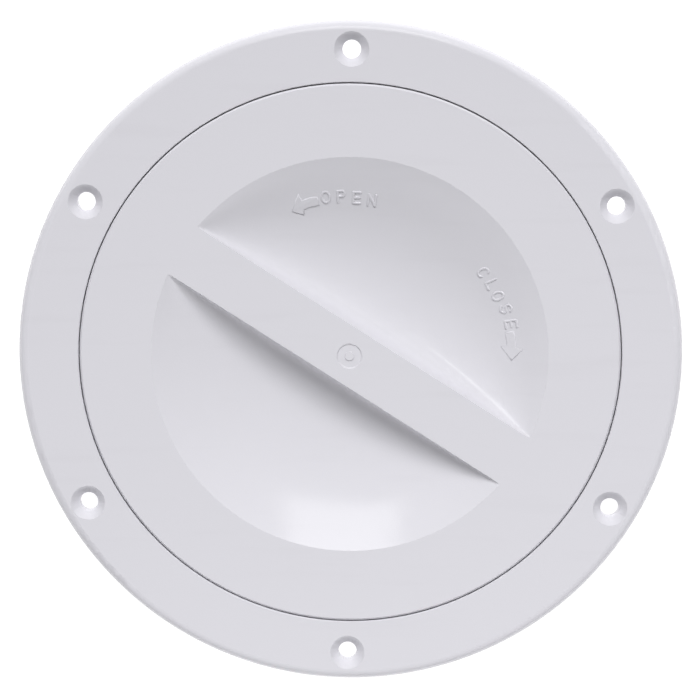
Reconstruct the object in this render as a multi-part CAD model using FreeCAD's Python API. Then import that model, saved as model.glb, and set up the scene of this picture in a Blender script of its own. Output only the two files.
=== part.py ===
import FreeCAD, Part
import math
import os

# A round screw-in deck inspection hatch, moulded in white plastic.
# A flat mounting flange is screwed down over a hole in the deck and carries a threaded collar below.
# A dished lid with a grip bar across it screws into the collar and closes on an O-ring.
# Millimetres, +Z up out of the deck, origin at the centre of the flange's underside, the deck plane.

# Mounting flange
flange_land = 16.45          # flat width outside the lid's recess
flange_t = 4.5
flange_edge_round = 2.6
recess_edge_bevel = 0.2
screw_inset = 7.7            # from the flange's edge to the middle of a hole
screw_count = 6
screw_turn = -0.4            # degrees that the middle between two holes is turned from the +X axis
screw_hole_d = 5.0
screw_head_d = 9.4           # mouth of the countersink
countersink_angle = 90.0     # full angle between its walls

# Collar that reaches down through the deck
opening_d = 132.0            # bore at the root of the inner thread
collar_wall = 3.3
spigot_step = 2.7            # how much the belt that centres the frame in the deck is thicker
spigot_depth = 4.5
collar_edge_bevel = 0.8

# Lid plate
lid_overhang = 7.25          # plate past the bore, on the radius
lid_t = 3.0
lid_gap = 0.3                # open line between the lid and the flange, on the radius
lid_seat_gap = 0.3           # between the lid plate and the floor of the recess
lid_edge_bevel = 0.5
lid_under_bevel = 0.3
skirt_wall = 2.8
skirt_edge_bevel = 0.5
inner_corner_bevel = 1.0

# Dish and grip bar
dish_inset = 7.45            # from the skirt's inside to the dish's rim
dish_depth = 11.4            # of the sphere that its floor blends into
dish_fill = 2.0              # how much the blend lifts the middle of the floor
fillet_power = 1.6           # how tightly the bar's side runs into the dish, higher is tighter
dish_wall = 2.6
bend_h = 6.7                 # bevel under the dish, from its lowest point up
bend_out = 5.7               # and from the foot of its side out
grip_w = 14.8
grip_turn = -32.5            # degrees from the +X axis
grip_draft = 15.0            # degrees between the upright and the top of the bar's side
grip_sweep = 6.4             # distance out at which the side's depth is halved by its sweep
web_count = 3                # cross webs in the hollow under the bar
web_t = 1.8
web_depth = 5.0
web_spacing = 26.0
rib_count = 12               # gussets between the dish and the skirt
rib_t = 1.8
rib_depth = 8.5
rib_reach = 6.8              # how far a gusset runs in under the dish
gate_mark_d = 6.9            # shallow moulding mark in the middle of the bar
gate_mark_depth = 0.35
gate_nub_d = 2.6
gate_nub_h = 0.25

# Thread
thread_starts = 2
thread_pitch = 4.5           # from one ridge to the next along the axis
thread_height = 1.6
thread_clearance = 0.4       # crest to root, on the radius
flank_clearance = 0.35       # side to side, along the axis
flank_angle = 20.0           # degrees between a ridge's side and the radius
thread_arc = 300.0           # degrees round which each ridge runs
thread_run_out = 24.0        # degrees over which a ridge rises at each end
lid_thread_top_gap = 2.0     # from the seal down to the middle of the lid's ridges
lid_thread_end_gap = 1.3     # plain skirt below the lid's ridges
frame_thread_top_gap = 1.6   # from the seal's seat down to the middle of the frame's ridges
frame_thread_end_gap = 2.2   # plain bore below the frame's ridges
station_step = 6.0           # degrees between the points of a helix

# Seal
seal_section_d = 3.0
seal_gap = 0.3               # to the skirt and to the frame's seat
seal_top_gap = 0.1           # to the lid plate
seal_sides = 12              # flats round the ring's section

# Working sizes
overlap = 0.6                # how far joined solids are sunk in each other
margin = 3.0                 # how far a cutter reaches past what it cuts
dish_rows = 34               # points across half the dish's floor
dish_columns = 61            # points along it
row_power = 1.5              # how much closer the rows stand near the bar

# Radii that follow
bore_r = opening_d / 2
lid_r = bore_r + lid_overhang
recess_r = lid_r + lid_gap
flange_r = recess_r + flange_land
screw_circle_r = flange_r - screw_inset
collar_r = bore_r + collar_wall
spigot_r = collar_r + spigot_step
frame_crest_r = bore_r - thread_height
lid_crest_r = bore_r - thread_clearance
skirt_r = frame_crest_r - thread_clearance
skirt_inner_r = skirt_r - skirt_wall
dish_r = skirt_inner_r - dish_inset
dish_sphere_r = (dish_r ** 2 + dish_depth ** 2) / (2 * dish_depth)
seal_r = skirt_r + seal_gap + seal_section_d / 2

# Heights that follow
top_z = flange_t
lid_under_z = top_z - lid_t
recess_floor_z = lid_under_z - lid_seat_gap
seal_z = lid_under_z - seal_top_gap - seal_section_d / 2
seat_offset = seal_r - seal_z + (seal_section_d / 2 + seal_gap) * math.sqrt(2)
seat_low_z = bore_r - seat_offset
thread_lead = thread_pitch * thread_starts
thread_climb = thread_lead * thread_arc / 360
lid_first_z = seal_z - seal_section_d / 2 - lid_thread_top_gap - thread_climb
skirt_depth = thread_pitch / 4 + lid_thread_end_gap - lid_first_z
frame_first_z = seat_low_z - frame_thread_top_gap - thread_climb
collar_depth = thread_pitch / 2 + frame_thread_end_gap - frame_first_z


def point(r, z):
    """A point of a section, r out from the axis and z up."""
    return FreeCAD.Vector(r, 0, z)


def section_wire(corners):
    """A closed wire through corners of a section.

    A corner is (r, z) where it is sharp, (r, z, size) where it is bevelled that far along both
    sides, and (r, z, radius, "round") where it is an arc.
    """
    edges = []
    ends = []
    count = len(corners)
    for i in range(count):
        here = point(*corners[i][:2])
        if len(corners[i]) == 2:
            ends.append((here, here))
            continue
        back = (point(*corners[i - 1][:2]) - here).normalize()
        on = (point(*corners[(i + 1) % count][:2]) - here).normalize()
        size = corners[i][2]
        if len(corners[i]) == 3:
            start = here + back * size
            stop = here + on * size
            edges.append(Part.makeLine(start, stop))
        else:
            half_angle = back.getAngle(on) / 2
            start = here + back * (size / math.tan(half_angle))
            stop = here + on * (size / math.tan(half_angle))
            middle = here + (back + on).normalize() * (size / math.sin(half_angle) - size)
            edges.append(Part.Arc(start, middle, stop).toShape())
        ends.append((start, stop))
    for i in range(count):
        edges.append(Part.makeLine(ends[i][1], ends[(i + 1) % count][0]))
    return Part.Wire(Part.__sortEdges__(edges))


def turned(corners):
    """The solid that a section sweeps when it turns once round the axis."""
    section = Part.Face(section_wire(corners))
    return section.revolve(FreeCAD.Vector(0, 0, 0), FreeCAD.Vector(0, 0, 1), 360)


def about_axis(shape, degrees):
    """A copy of the shape turned about the hatch's axis."""
    copy = shape.copy()
    copy.rotate(FreeCAD.Vector(0, 0, 0), FreeCAD.Vector(0, 0, 1), degrees)
    return copy


def helix_edge(radii, heights, turns):
    """A smooth edge through points at the given radii, heights and angles in degrees."""
    points = []
    for r, z, turn in zip(radii, heights, turns):
        a = math.radians(turn)
        points.append(FreeCAD.Vector(r * math.cos(a), r * math.sin(a), z))
    curve = Part.BSplineCurve()
    curve.interpolate(points)
    return curve.toShape()


def thread_ridge(wall_r, crest_r, first_z, first_turn):
    """One ridge of a right-hand thread, a trapezium carried up a helix.

    It stands on the wall at wall_r and reaches crest_r. Its middle starts at first_z and first_turn
    and climbs one lead in a turn. At each end it rises smoothly out of the wall.
    """
    outward = 1 if crest_r > wall_r else -1
    root_r = wall_r - outward * overlap
    mid_r = (wall_r + crest_r) / 2
    mid_half = (thread_pitch / 2 - flank_clearance) / 2
    slope = math.tan(math.radians(flank_angle))
    steps = math.ceil(thread_arc / station_step)
    turns = [first_turn + thread_arc * i / steps for i in range(steps + 1)]
    heights = [first_z + thread_lead * (turn - first_turn) / 360 for turn in turns]
    crests = []
    for turn in turns:
        from_end = min(turn - turns[0], turns[-1] - turn) / thread_run_out
        rise = min(from_end, 1.0)
        rise = rise * rise * (3 - 2 * rise)
        buried_r = wall_r - outward * overlap / 4
        crests.append(buried_r + (crest_r - buried_r) * rise)
    roots = [root_r] * len(turns)

    def edge(radii, side):
        halves = [mid_half - slope * outward * (r - mid_r) for r in radii]
        return helix_edge(radii, [z + side * half for z, half in zip(heights, halves)], turns)

    corners = [edge(roots, -1), edge(crests, -1), edge(crests, 1), edge(roots, 1)]
    faces = []
    for i in range(4):
        faces.append(Part.makeRuledSurface(corners[i], corners[(i + 1) % 4]))
    for end in (0, -1):
        tips = [corner.Vertexes[end].Point for corner in corners]
        faces.append(Part.Face(Part.makePolygon(tips + tips[:1])))
    shell = Part.Shell(faces)
    shell.sewShape()
    ridge = Part.Solid(shell)
    if ridge.Volume < 0:
        ridge.reverse()
    return ridge


def thread_ridges(wall_r, crest_r, first_z, first_turn):
    """All starts of a thread, evenly round the axis."""
    ridge = thread_ridge(wall_r, crest_r, first_z, first_turn)
    return [about_axis(ridge, 360 * i / thread_starts) for i in range(thread_starts)]


def dish_hollow():
    """The hollow on one side of the grip bar, down from just above the lid's face.

    Its floor blends two surfaces: a sphere, and the bar's side, which starts at the draft and
    sweeps outwards. With a and b the depths of the two below the face and n the fillet power, the
    floor's depth is a * b divided by the nth root of (a to the n + b to the n). That keeps a crisp
    edge at the rim and along the bar, and a wide fillet where the side runs into the sphere.
    """
    sphere_z = top_z - dish_depth + dish_sphere_r
    lean = math.tan(math.radians(grip_draft))
    reach = dish_r + margin
    near = (grip_w - margin) / 2

    def floor_z(along, across):
        a = top_z - sphere_z + math.sqrt(dish_sphere_r ** 2 - along ** 2 - across ** 2)
        out = across - grip_w / 2
        b = out / lean / (1 + out / grip_sweep)
        if a > 0 and b > 0:
            return top_z - a * b / (a ** fillet_power + b ** fillet_power) ** (1 / fillet_power)
        return top_z - min(a, b)

    grid = []
    for i in range(dish_rows):
        across = near + (reach - near) * (i / (dish_rows - 1)) ** row_power
        line = []
        for j in range(dish_columns):
            along = reach * (2 * j / (dish_columns - 1) - 1)
            line.append(FreeCAD.Vector(along, across, floor_z(along, across)))
        grid.append(line)
    surface = Part.BSplineSurface()
    surface.interpolate(grid)
    floor = surface.toShape()
    roof_z = max(vertex.Point.z for vertex in floor.Vertexes) + margin
    faces = [floor]
    for edge in floor.Edges:
        start = edge.Vertexes[0].Point
        stop = edge.Vertexes[-1].Point
        high_start = FreeCAD.Vector(start.x, start.y, roof_z)
        high_stop = FreeCAD.Vector(stop.x, stop.y, roof_z)
        upper = Part.makePolygon([stop, high_stop, high_start, start])
        faces.append(Part.Face(Part.Wire(Part.__sortEdges__([edge] + upper.Edges))))
    roof = [(-reach, near), (reach, near), (reach, reach), (-reach, reach), (-reach, near)]
    faces.append(Part.Face(Part.makePolygon([FreeCAD.Vector(x, y, roof_z) for x, y in roof])))
    shell = Part.Shell(faces)
    shell.sewShape()
    hollow = Part.Solid(shell)
    if hollow.Volume < 0:
        hollow.reverse()
    return hollow


def dish_shell():
    """The plastic round the hollow on one side of the bar, with the hollow still filled.

    A sphere one wall outside the dish's rim and below its middle is cut off level in the plate,
    along a plane one wall inside the bar's side, and by a bevel that follows the side's sweep.
    """
    rim_lean = math.asin(dish_r / dish_sphere_r)
    rim_r = dish_r + dish_wall * math.sin(rim_lean)
    rim_z = top_z - dish_wall * math.cos(rim_lean)
    bottom_z = top_z - dish_depth + dish_fill - dish_wall
    shell_r = (rim_r ** 2 + (rim_z - bottom_z) ** 2) / (2 * (rim_z - bottom_z))
    sphere_z = bottom_z + shell_r
    lean = math.tan(math.radians(grip_draft))
    side_shift = dish_wall / math.sin(math.radians(grip_draft))

    def side(z):
        return grip_w / 2 + (top_z - z - side_shift) * lean

    plate_z = lid_under_z + overlap
    bend_z = bottom_z + bend_h
    bend_run = side(bottom_z) + bend_out - side(bend_z)
    low_z = bottom_z - margin
    low_across = side(bend_z) + bend_run * (bend_z - low_z) / bend_h
    half = [
        (side(plate_z), plate_z),
        (shell_r, plate_z),
        (shell_r, low_z),
        (low_across, low_z),
        (side(bend_z), bend_z),
    ]
    outline = [FreeCAD.Vector(-shell_r, across, z) for across, z in half + half[:1]]
    wedge = Part.Face(Part.makePolygon(outline)).extrude(FreeCAD.Vector(2 * shell_r, 0, 0))
    return Part.makeSphere(shell_r, FreeCAD.Vector(0, 0, sphere_z)).common(wedge)


def both_sides(shape):
    """The shape on each side of the grip bar."""
    return [about_axis(shape, grip_turn), about_axis(shape, grip_turn + 180)]


def screw_hole():
    """The space of one countersunk hole, on the axis."""
    sink = (screw_head_d - screw_hole_d) / 2 / math.tan(math.radians(countersink_angle / 2))
    widening = margin * math.tan(math.radians(countersink_angle / 2))
    return turned([
        (0, -margin),
        (screw_hole_d / 2, -margin),
        (screw_hole_d / 2, top_z - sink),
        (screw_head_d / 2, top_z),
        (screw_head_d / 2 + widening, top_z + margin),
        (0, top_z + margin),
    ])


def frame_ring():
    """Flange, lid recess, seat for the seal and threaded collar, moulded in one piece."""
    body = turned([
        (flange_r, 0),
        (flange_r, top_z, flange_edge_round, "round"),
        (recess_r, top_z, recess_edge_bevel),
        (recess_r, recess_floor_z),
        (seat_offset + recess_floor_z, recess_floor_z),
        (bore_r, seat_low_z),
        (bore_r, -collar_depth, collar_edge_bevel),
        (collar_r, -collar_depth, collar_edge_bevel),
        (collar_r, -spigot_depth - spigot_step),
        (spigot_r, -spigot_depth),
        (spigot_r, 0),
    ])
    midway = 360 * (frame_first_z - lid_first_z - thread_pitch / 2) / thread_lead
    body = body.fuse(thread_ridges(bore_r, frame_crest_r, frame_first_z, grip_turn + midway))
    hole = screw_hole()
    holes = []
    for i in range(screw_count):
        place = hole.copy()
        place.translate(FreeCAD.Vector(screw_circle_r, 0, 0))
        holes.append(about_axis(place, screw_turn + 360 * (i + 0.5) / screw_count))
    return body.cut(holes)


def lid():
    """Plate, dish with its hollow grip bar, and threaded skirt, moulded in one piece."""
    body = turned([
        (0, lid_under_z),
        (skirt_inner_r, lid_under_z, inner_corner_bevel),
        (skirt_inner_r, -skirt_depth, skirt_edge_bevel),
        (skirt_r, -skirt_depth, skirt_edge_bevel),
        (skirt_r, lid_under_z),
        (lid_r, lid_under_z, lid_under_bevel),
        (lid_r, top_z, lid_edge_bevel),
        (0, top_z),
    ])
    pieces = both_sides(dish_shell())
    pieces += ribs()
    pieces += webs()
    pieces += thread_ridges(skirt_r, lid_crest_r, lid_first_z, grip_turn)
    body = body.fuse(pieces)
    return body.cut(both_sides(dish_hollow()) + [gate_mark()])


def ribs():
    """Gussets under the plate, from the skirt in to the dish."""
    inner_r = dish_r - rib_reach
    corners = [
        (skirt_inner_r + overlap, lid_under_z + overlap),
        (skirt_inner_r + overlap, lid_under_z - rib_depth),
        (skirt_inner_r, lid_under_z - rib_depth),
        (inner_r, lid_under_z - lid_t),
        (inner_r, lid_under_z + overlap),
    ]
    outline = Part.makePolygon([point(r, z) for r, z in corners + corners[:1]])
    rib = Part.Face(outline).extrude(FreeCAD.Vector(0, rib_t, 0))
    rib.translate(FreeCAD.Vector(0, -rib_t / 2, 0))
    return [about_axis(rib, grip_turn + 360 * i / rib_count) for i in range(rib_count)]


def webs():
    """Cross webs in the hollow under the grip bar."""
    height = web_depth + overlap
    places = []
    for i in range(web_count):
        along = web_spacing * (i - (web_count - 1) / 2)
        corner = FreeCAD.Vector(along - web_t / 2, -grip_w / 2, lid_under_z - web_depth)
        places.append(about_axis(Part.makeBox(web_t, grip_w, height, corner), grip_turn))
    return places


def gate_mark():
    """The space of the shallow moulding mark, a ring-shaped dimple round a low nub."""
    floor_z = top_z - gate_mark_depth
    nub_z = floor_z + gate_nub_h
    lean = gate_mark_depth
    return turned([
        (0, nub_z),
        (gate_nub_d / 2 - gate_nub_h / 2, nub_z),
        (gate_nub_d / 2, floor_z),
        (gate_mark_d / 2 - lean, floor_z),
        (gate_mark_d / 2, top_z),
        (gate_mark_d / 2 + lean, top_z + gate_mark_depth),
        (0, top_z + gate_mark_depth),
    ])


def seal_ring():
    """The O-ring, round the top of the skirt and under the lid plate, with flats for its round."""
    flats = []
    flat_r = seal_section_d / 2 / math.cos(math.pi / seal_sides)
    for i in range(seal_sides):
        a = 2 * math.pi * (i + 0.5) / seal_sides
        flats.append((seal_r + flat_r * math.cos(a), seal_z + flat_r * math.sin(a)))
    return turned(flats)


os.makedirs("parts", exist_ok=True)
shapes = {"frame_ring": frame_ring(), "lid": lid(), "seal_ring": seal_ring()}
for name, shape in shapes.items():
    solids = shape.Solids
    print(name, "solids", len(solids), "valid", shape.isValid(), "volume", round(shape.Volume, 1))
    shape.exportStep(f"parts/{name}.step")
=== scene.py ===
import math

import bpy
import numpy as np
from mathutils import Matrix, Vector


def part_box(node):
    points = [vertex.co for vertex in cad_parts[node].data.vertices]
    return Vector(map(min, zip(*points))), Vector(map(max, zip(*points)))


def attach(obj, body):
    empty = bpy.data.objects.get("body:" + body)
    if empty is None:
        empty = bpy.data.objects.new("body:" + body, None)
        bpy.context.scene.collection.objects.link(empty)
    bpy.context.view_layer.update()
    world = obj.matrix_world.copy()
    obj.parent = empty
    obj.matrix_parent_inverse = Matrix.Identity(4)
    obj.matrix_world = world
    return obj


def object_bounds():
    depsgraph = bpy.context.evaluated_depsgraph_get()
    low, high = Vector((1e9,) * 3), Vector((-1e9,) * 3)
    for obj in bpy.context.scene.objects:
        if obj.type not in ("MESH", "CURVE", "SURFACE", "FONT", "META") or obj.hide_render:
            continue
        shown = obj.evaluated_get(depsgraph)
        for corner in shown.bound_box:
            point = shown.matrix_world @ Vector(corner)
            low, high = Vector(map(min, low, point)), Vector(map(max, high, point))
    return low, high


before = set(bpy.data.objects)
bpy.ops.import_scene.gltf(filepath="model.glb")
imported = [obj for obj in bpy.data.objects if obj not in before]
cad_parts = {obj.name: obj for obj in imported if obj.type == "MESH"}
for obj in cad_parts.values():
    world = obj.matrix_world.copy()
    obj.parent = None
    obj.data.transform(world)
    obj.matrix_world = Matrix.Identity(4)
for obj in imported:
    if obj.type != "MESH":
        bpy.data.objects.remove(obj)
cad_box = [list(corner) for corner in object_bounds()]

# Mounting flange and lid
# Both are injection moulded in the same white plastic, which has a fine satin grain from the mould,
# faint streaks where the melt flowed, and a slightly cool colour. Six screws, not fitted here, hold
# the flange to the deck, and the lid is screwed into its collar.
plastic_white = (0.65, 0.643, 0.685, 1.0)
plastic_streak = (0.634, 0.626, 0.667, 1.0)
plastic_index = 1.49
plastic_gloss = 0.12
plastic_gloss_spread = 0.02
plastic_gloss_scale = 140.0
streak_stretch = (22, 260, 60)
streak_share_range = (0.56, 0.82)
plastic_grain_scale = 2600.0
plastic_grain_depth = 0.000012
plastic_sink_scale = 24.0
plastic_sink_depth = 0.00022
flange_flow_turn = 20
lid_flow_turn = 8


def moulded_plastic(name, flow_turn):
    """Satin white plastic, with the direction of its flow in degrees.

    Its colour runs between two whites along streaks, noise that is stretched along the flow. Its
    gloss varies in patches. Its bump adds a fine grain from the mould to the slow waves that a
    thick moulding sinks into.
    """
    material = bpy.data.materials.new(name)
    material.use_nodes = True
    nodes = material.node_tree.nodes
    links = material.node_tree.links
    shader = nodes["Principled BSDF"]
    shader.inputs["IOR"].default_value = plastic_index
    place = nodes.new("ShaderNodeTexCoord")
    flow = nodes.new("ShaderNodeMapping")
    flow.inputs["Rotation"].default_value = (0, 0, math.radians(flow_turn))
    flow.inputs["Scale"].default_value = streak_stretch
    links.new(place.outputs["Object"], flow.inputs["Vector"])
    streaks = nodes.new("ShaderNodeTexNoise")
    streaks.inputs["Scale"].default_value = 1.0
    streaks.inputs["Detail"].default_value = 4.0
    links.new(flow.outputs["Vector"], streaks.inputs["Vector"])
    streak_share = nodes.new("ShaderNodeMapRange")
    streak_share.inputs["From Min"].default_value = streak_share_range[0]
    streak_share.inputs["From Max"].default_value = streak_share_range[1]
    links.new(streaks.outputs["Fac"], streak_share.inputs["Value"])
    colour = nodes.new("ShaderNodeMix")
    colour.data_type = "RGBA"
    colour.inputs["A"].default_value = plastic_white
    colour.inputs["B"].default_value = plastic_streak
    links.new(streak_share.outputs["Result"], colour.inputs["Factor"])
    links.new(colour.outputs["Result"], shader.inputs["Base Color"])

    patches = nodes.new("ShaderNodeTexNoise")
    patches.inputs["Scale"].default_value = plastic_gloss_scale
    patches.inputs["Detail"].default_value = 3.0
    links.new(place.outputs["Object"], patches.inputs["Vector"])
    gloss = nodes.new("ShaderNodeMapRange")
    gloss.inputs["To Min"].default_value = plastic_gloss - plastic_gloss_spread
    gloss.inputs["To Max"].default_value = plastic_gloss + plastic_gloss_spread
    links.new(patches.outputs["Fac"], gloss.inputs["Value"])
    links.new(gloss.outputs["Result"], shader.inputs["Roughness"])

    sink = nodes.new("ShaderNodeTexNoise")
    sink.inputs["Scale"].default_value = plastic_sink_scale
    sink.inputs["Detail"].default_value = 1.0
    links.new(place.outputs["Object"], sink.inputs["Vector"])
    sink_bump = nodes.new("ShaderNodeBump")
    sink_bump.inputs["Distance"].default_value = plastic_sink_depth
    sink_bump.inputs["Strength"].default_value = 1.0
    links.new(sink.outputs["Fac"], sink_bump.inputs["Height"])
    grain = nodes.new("ShaderNodeTexNoise")
    grain.inputs["Scale"].default_value = plastic_grain_scale
    grain.inputs["Detail"].default_value = 2.0
    links.new(place.outputs["Object"], grain.inputs["Vector"])
    grain_bump = nodes.new("ShaderNodeBump")
    grain_bump.inputs["Distance"].default_value = plastic_grain_depth
    grain_bump.inputs["Strength"].default_value = 1.0
    links.new(grain.outputs["Fac"], grain_bump.inputs["Height"])
    links.new(sink_bump.outputs["Normal"], grain_bump.inputs["Normal"])
    links.new(grain_bump.outputs["Normal"], shader.inputs["Normal"])
    return material


def finish_node(node, material):
    """The whole of a CAD node in one material."""
    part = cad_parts[node]
    part.data.materials.clear()
    part.data.materials.append(material)


flange_plastic = moulded_plastic("flange_plastic", flange_flow_turn)
lid_plastic = moulded_plastic("lid_plastic", lid_flow_turn)
finish_node("frame_ring", flange_plastic)
finish_node("lid", lid_plastic)

# Raised words and arrows on the dish's floor
# They are cut into the mould, so they stand up from the lid in its own plastic. They show which way
# it turns: counter-clockwise opens.
lid_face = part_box("lid")[1].z
dish_radius = 0.05375
dish_depth = 0.0114
dish_fillet_power = 1.6
grip_half_width = 0.0074
grip_turn = math.radians(-32.5)
grip_draft = math.radians(15)
grip_sweep = 0.0064
letter_half_width = 0.00095
letter_half_height = 0.00148
stroke_half_width = 0.00034
stroke_height = 0.00024
stroke_sunk = 0.00025
stroke_fullness = 0.7
stroke_round_steps = 12
stroke_cap_steps = 6
stroke_cap_turn = 88
straight_points = 9
bow_points = 33
arrow_edge_inset = 0.00028
arrow_edge = ((0, 0.55), (0.3, 0.85), (1, 1))


def dish_floor(x, y):
    """Height of the dish's floor.

    With a and b the depths of the sphere and of the bar's sweeping side below the lid's face, and
    n the fillet power, the floor lies a * b over the nth root of (a to the n + b to the n) down.
    """
    sphere = (dish_radius ** 2 + dish_depth ** 2) / (2 * dish_depth)
    across = np.abs(y * math.cos(grip_turn) - x * math.sin(grip_turn))
    a = np.sqrt(sphere ** 2 - x ** 2 - y ** 2) - (sphere - dish_depth)
    out = across - grip_half_width
    b = out / math.tan(grip_draft) / (1 + out / grip_sweep)
    n = dish_fillet_power
    return lid_face - a * b / (a ** n + b ** n) ** (1 / n)


def closed_tube(rows, columns):
    """Faces of a tube of closed rings, row after row, with a cap on the first ring and the last."""
    i, j = np.meshgrid(np.arange(rows - 1), np.arange(columns), indexing="ij")
    k = (j + 1) % columns
    corners = [i * columns + j, i * columns + k, (i + 1) * columns + k, (i + 1) * columns + j]
    quads = np.stack(corners, axis=2).reshape(-1, 4).tolist()
    first_cap = list(range(columns))[::-1]
    last_cap = list(range((rows - 1) * columns, rows * columns))
    return quads + [first_cap, last_cap]


def stroke(line):
    """A closed ridge along a line of points seen from above.

    Across the line its height is a half round raised to the power of the fullness. Past each end
    the sections narrow with the cosine of an angle that grows to nearly a right angle, while they
    move on by its sine, which rounds the end. The bottom is sunk into the floor.
    """
    line = np.asarray(line)
    along = np.gradient(line, axis=0)
    along /= np.linalg.norm(along, axis=1)[:, None]
    cap = np.radians(np.linspace(0, stroke_cap_turn, stroke_cap_steps + 1))[1:]
    start = line[0] - stroke_half_width * np.sin(cap[::-1])[:, None] * along[0]
    stop = line[-1] + stroke_half_width * np.sin(cap)[:, None] * along[-1]
    middle = np.concatenate([start, line, stop])
    first_heading = np.repeat(along[:1], stroke_cap_steps, 0)
    last_heading = np.repeat(along[-1:], stroke_cap_steps, 0)
    heading = np.concatenate([first_heading, along, last_heading])
    share = np.concatenate([np.cos(cap[::-1]), np.ones(len(line)), np.cos(cap)])
    side = np.stack([-heading[:, 1], heading[:, 0]], axis=1)
    turn = np.radians(np.linspace(0, 180, stroke_round_steps + 1))
    across = np.concatenate([np.cos(turn), [-1, 1]])
    round_top = stroke_height * np.sin(turn) ** stroke_fullness
    rise = np.concatenate([round_top, [-stroke_sunk, -stroke_sunk]])
    offset = stroke_half_width * share[:, None] * across
    plan = middle[:, None] + side[:, None] * offset[..., None]
    lift = np.where(rise > 0, rise * share[:, None] ** stroke_fullness, rise)
    z = dish_floor(plan[..., 0], plan[..., 1]) + lift
    points = np.concatenate([plan, z[..., None]], axis=2)
    return points.reshape(-1, 3), closed_tube(*z.shape)


def plateau(outline):
    """A closed low plateau on the dish's floor over an outline seen from above.

    Each ring of its side is the outline moved inwards along the corners' bisectors: the first two
    stand upright out of the floor, and the next two round the edge over on to the top.
    """
    outline = np.asarray(outline)
    forward = np.roll(outline, -1, axis=0) - outline
    forward /= np.linalg.norm(forward, axis=1)[:, None]
    back = np.roll(forward, 1, axis=0)
    inward = np.stack([-forward[:, 1], forward[:, 0]], axis=1)
    inward_back = np.stack([-back[:, 1], back[:, 0]], axis=1)
    bisector = inward + inward_back
    bisector /= (bisector * inward).sum(axis=1)[:, None]
    side = [(0, -stroke_sunk)]
    side += [(inwards * arrow_edge_inset, up * stroke_height) for inwards, up in arrow_edge]
    rings = []
    for step, lift in side:
        plan = outline + bisector * step
        rings.append(np.column_stack([plan, dish_floor(plan[:, 0], plan[:, 1]) + lift]))
    return np.concatenate(rings), closed_tube(len(rings), len(outline))


def on_lid(name, pieces):
    """One mesh of the given closed shells, carried by the lid."""
    points = []
    faces = []
    for shell, polygons in pieces:
        first = sum(len(block) for block in points)
        points.append(shell)
        faces += [[first + corner for corner in polygon] for polygon in polygons]
    mesh = bpy.data.meshes.new(name)
    mesh.from_pydata(np.concatenate(points).tolist(), [], faces)
    mesh.polygons.foreach_set("use_smooth", [len(face) == 4 for face in faces])
    mesh.materials.append(lid_plastic)
    piece = bpy.data.objects.new(name, mesh)
    bpy.context.scene.collection.objects.link(piece)
    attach(piece, "lid")


def straight(start, stop):
    """Points of a straight line between two corners.

    They are given in shares of a letter's half width and half height.
    """
    steps = np.linspace(0, 1, straight_points)[:, None]
    return np.array(start) * (1 - steps) + np.array(stop) * steps


def bow(centre, half_size, first, last):
    """Points of an arc of an ellipse, from the first angle to the last, in degrees."""
    turn = np.radians(np.linspace(first, last, bow_points))
    circle = np.stack([np.cos(turn), np.sin(turn)], axis=1)
    return np.array(centre) + np.array(half_size) * circle


stem = straight((-1, -1), (-1, 1))
shapes = {
    "C": [bow((0.1, 0), (1.05, 1), 48, 312)],
    "E": [
        stem, straight((-1, 1), (1, 1)), straight((-1, 0), (0.8, 0)), straight((-1, -1), (1, -1)),
    ],
    "L": [stem, straight((-1, -1), (1, -1))],
    "N": [stem, straight((-1, 1), (1, -1)), straight((1, -1), (1, 1))],
    "O": [bow((0, 0), (1.1, 1), 90, 450)],
    "P": [
        stem, straight((-1, 1), (0.3, 1)), straight((-1, 0), (0.3, 0)),
        bow((0.3, 0.5), (0.6, 0.5), 90, -90),
    ],
    "S": [bow((0, 0.5), (0.95, 0.5), 20, 270), bow((0, -0.5), (0.95, 0.5), 90, -160)],
}


def word(name, letters, places):
    """Letters round the dish, with their tops outwards, that are read clockwise.

    The place of each is an angle in degrees and a radius.
    """
    pieces = []
    for letter, (turn, radius) in zip(letters, places):
        out = np.array([math.cos(math.radians(turn)), math.sin(math.radians(turn))])
        clockwise = np.array([out[1], -out[0]])
        for line in shapes[letter]:
            across = line[:, :1] * letter_half_width
            up = line[:, 1:] * letter_half_height
            pieces.append(stroke(radius * out + across * clockwise + up * out))
    on_lid(name, pieces)


word("word_open", "OPEN", [
    (98.6, 0.0432), (93.1, 0.0430), (87.5, 0.0426), (81.9, 0.0423),
])
word("word_close", "CLOSE", [
    (31.9, 0.0425), (26.5, 0.0430), (21.8, 0.0432), (16.6, 0.0441), (10.9, 0.0445),
])


def arrow(name, corners):
    """A solid arrow from its corners, counter-clockwise, each an angle in degrees and a radius."""
    turn = np.radians([corner[0] for corner in corners])
    radius = np.array([corner[1] for corner in corners])
    outline = np.stack([radius * np.cos(turn), radius * np.sin(turn)], axis=1)
    on_lid(name, [plateau(outline)])


arrow("arrow_open", [
    (101.4, 0.0413), (101.6, 0.0438), (104.4, 0.0440), (107.2, 0.0438),
    (107.6, 0.0458), (112.0, 0.0419), (108.0, 0.0398), (107.4, 0.0413), (104.4, 0.0414),
])
arrow("arrow_close", [
    (8.4, 0.0450), (8.2, 0.0426), (5.6, 0.0427), (3.0, 0.0427),
    (3.2, 0.0411), (-2.0, 0.0440), (2.1, 0.0470), (2.8, 0.0451), (5.6, 0.0452),
])

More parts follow.
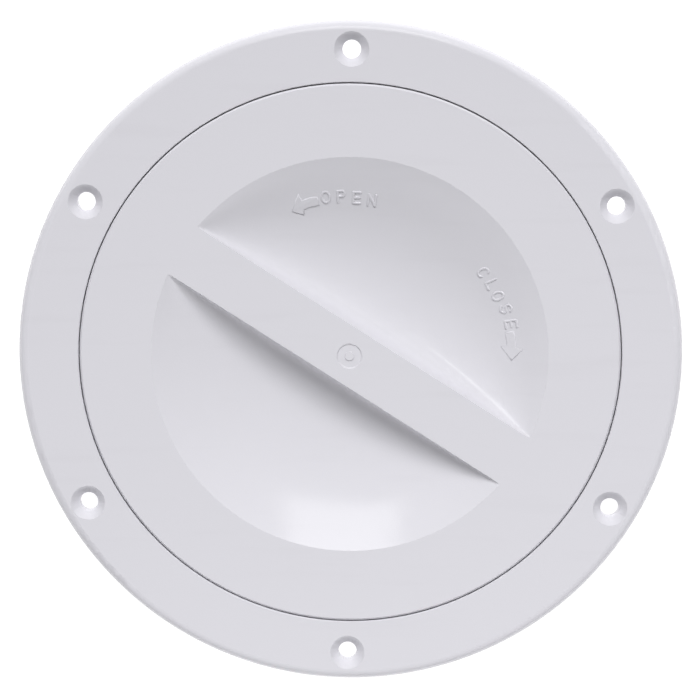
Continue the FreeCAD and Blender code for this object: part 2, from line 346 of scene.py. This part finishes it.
# Seal under the lid's plate
# An O-ring of black rubber, moulded in one piece, lies round the top of the skirt. It has the dull
# skin of vulcanised rubber and a faint bloom.
rubber_black = (0.018, 0.018, 0.019, 1.0)
rubber_bloom = (0.045, 0.045, 0.046, 1.0)
rubber_roughness = 0.62
rubber_bloom_scale = 420.0
rubber_skin_depth = 0.00003
seal_rubber = bpy.data.materials.new("seal_rubber")
seal_rubber.use_nodes = True
rubber_nodes = seal_rubber.node_tree.nodes
rubber_links = seal_rubber.node_tree.links
rubber_shader = rubber_nodes["Principled BSDF"]
rubber_shader.inputs["Roughness"].default_value = rubber_roughness
rubber_place = rubber_nodes.new("ShaderNodeTexCoord")
rubber_noise = rubber_nodes.new("ShaderNodeTexNoise")
rubber_noise.inputs["Scale"].default_value = rubber_bloom_scale
rubber_noise.inputs["Detail"].default_value = 5.0
rubber_links.new(rubber_place.outputs["Object"], rubber_noise.inputs["Vector"])
rubber_colour = rubber_nodes.new("ShaderNodeMix")
rubber_colour.data_type = "RGBA"
rubber_colour.inputs["A"].default_value = rubber_black
rubber_colour.inputs["B"].default_value = rubber_bloom
rubber_links.new(rubber_noise.outputs["Fac"], rubber_colour.inputs["Factor"])
rubber_links.new(rubber_colour.outputs["Result"], rubber_shader.inputs["Base Color"])
rubber_bump = rubber_nodes.new("ShaderNodeBump")
rubber_bump.inputs["Distance"].default_value = rubber_skin_depth
rubber_links.new(rubber_noise.outputs["Fac"], rubber_bump.inputs["Height"])
rubber_links.new(rubber_bump.outputs["Normal"], rubber_shader.inputs["Normal"])
finish_node("seal_ring", seal_rubber)

# Floor of the studio
# A plain white sweep that is lit so brightly that it shows no shadow.
floor_z = cad_box[0][2]
floor_reach = 3.0
floor_glow = 0.89
floor_grey = (0.25, 0.25, 0.25, 1.0)
floor_roughness = 0.9
floor_mesh = bpy.data.meshes.new("floor")
floor_mesh.from_pydata([
    (-floor_reach, -floor_reach, floor_z), (floor_reach, -floor_reach, floor_z),
    (floor_reach, floor_reach, floor_z), (-floor_reach, floor_reach, floor_z),
], [], [(0, 1, 2, 3)])
floor = bpy.data.objects.new("floor", floor_mesh)
bpy.context.scene.collection.objects.link(floor)
floor_paint = bpy.data.materials.new("floor_paint")
floor_paint.use_nodes = True
floor_shader = floor_paint.node_tree.nodes["Principled BSDF"]
floor_shader.inputs["Base Color"].default_value = floor_grey
floor_shader.inputs["Roughness"].default_value = floor_roughness
floor_shader.inputs["Emission Color"].default_value = (1.0, 1.0, 1.0, 1.0)
floor_shader.inputs["Emission Strength"].default_value = floor_glow
floor_mesh.materials.append(floor_paint)

# Light of the studio
# A wide strip of light stands low beyond the far side of the hatch, with a dimmer softbox above it
# that shows as a patch in the near side of the dish. A reflector close to the near side and the
# white room fill the rest, and a long strip just above the floor lightens the flange's near rim.
room_brightness = 0.06
room = bpy.data.worlds.new("room")
bpy.context.scene.world = room
room.use_nodes = True
room_light = room.node_tree.nodes["Background"]
room_light.inputs["Color"].default_value = (1.0, 1.0, 1.0, 1.0)
room_light.inputs["Strength"].default_value = room_brightness


def softbox(name, lean, turn, spread, distance, energy, glare):
    """A rectangular lamp that faces the hatch.

    It leans from overhead towards the far side, or the near side where the lean is negative, and
    is then turned round the hatch, both in degrees. The spread is half its width and half its
    height as angles seen from the hatch. The distance is in metres and the energy in watts. A lamp
    without glare stands for one behind a polariser, which leaves no highlight on the plastic.
    """
    lamp = bpy.data.lights.new(name, "AREA")
    lamp.shape = "RECTANGLE"
    lamp.size = 2 * distance * math.tan(math.radians(spread[0]))
    lamp.size_y = 2 * distance * math.tan(math.radians(spread[1]))
    lamp.energy = energy
    box = bpy.data.objects.new(name, lamp)
    box.visible_glossy = glare
    bpy.context.scene.collection.objects.link(box)
    about_hatch = Matrix.Rotation(math.radians(turn), 4, "Z")
    tipped = Matrix.Rotation(-math.radians(lean), 4, "X")
    box.matrix_world = about_hatch @ tipped @ Matrix.Translation((0, 0, distance))


softbox("key_light", 50, 0, (35, 8), 5.0, 326, False)
softbox("patch_light", 31, -1, (11.2, 12), 5.0, 34, True)
softbox("fill_light", -40, 12, (30, 22), 0.5, 1.07, False)
softbox("edge_light", -85, 0, (50, 3), 1.0, 5.4, False)

# Camera
# It looks almost straight down, from a little beyond the far side and to the right.
camera_target = Vector((0.00005, 0.00111, 0.0))
camera_back = Vector((0.02373, 0.1307, 0.99114)).normalized()
camera_distance = 0.5947
camera_focal_length = 112.29
camera_sensor_width = 36.0
camera_lens = bpy.data.cameras.new("camera")
camera_lens.lens = camera_focal_length
camera_lens.sensor_width = camera_sensor_width
camera_lens.clip_start = 0.01
camera = bpy.data.objects.new("camera", camera_lens)
bpy.context.scene.collection.objects.link(camera)
camera_right = Vector((0, 1, 0)).cross(camera_back).normalized()
camera_up = camera_back.cross(camera_right)
camera_turn = Matrix((camera_right, camera_up, camera_back)).transposed().to_4x4()
camera_place = Matrix.Translation(camera_target + camera_back * camera_distance)
camera.matrix_world = camera_place @ camera_turn
bpy.context.scene.camera = camera
bpy.context.scene.view_settings.view_transform = "Standard"
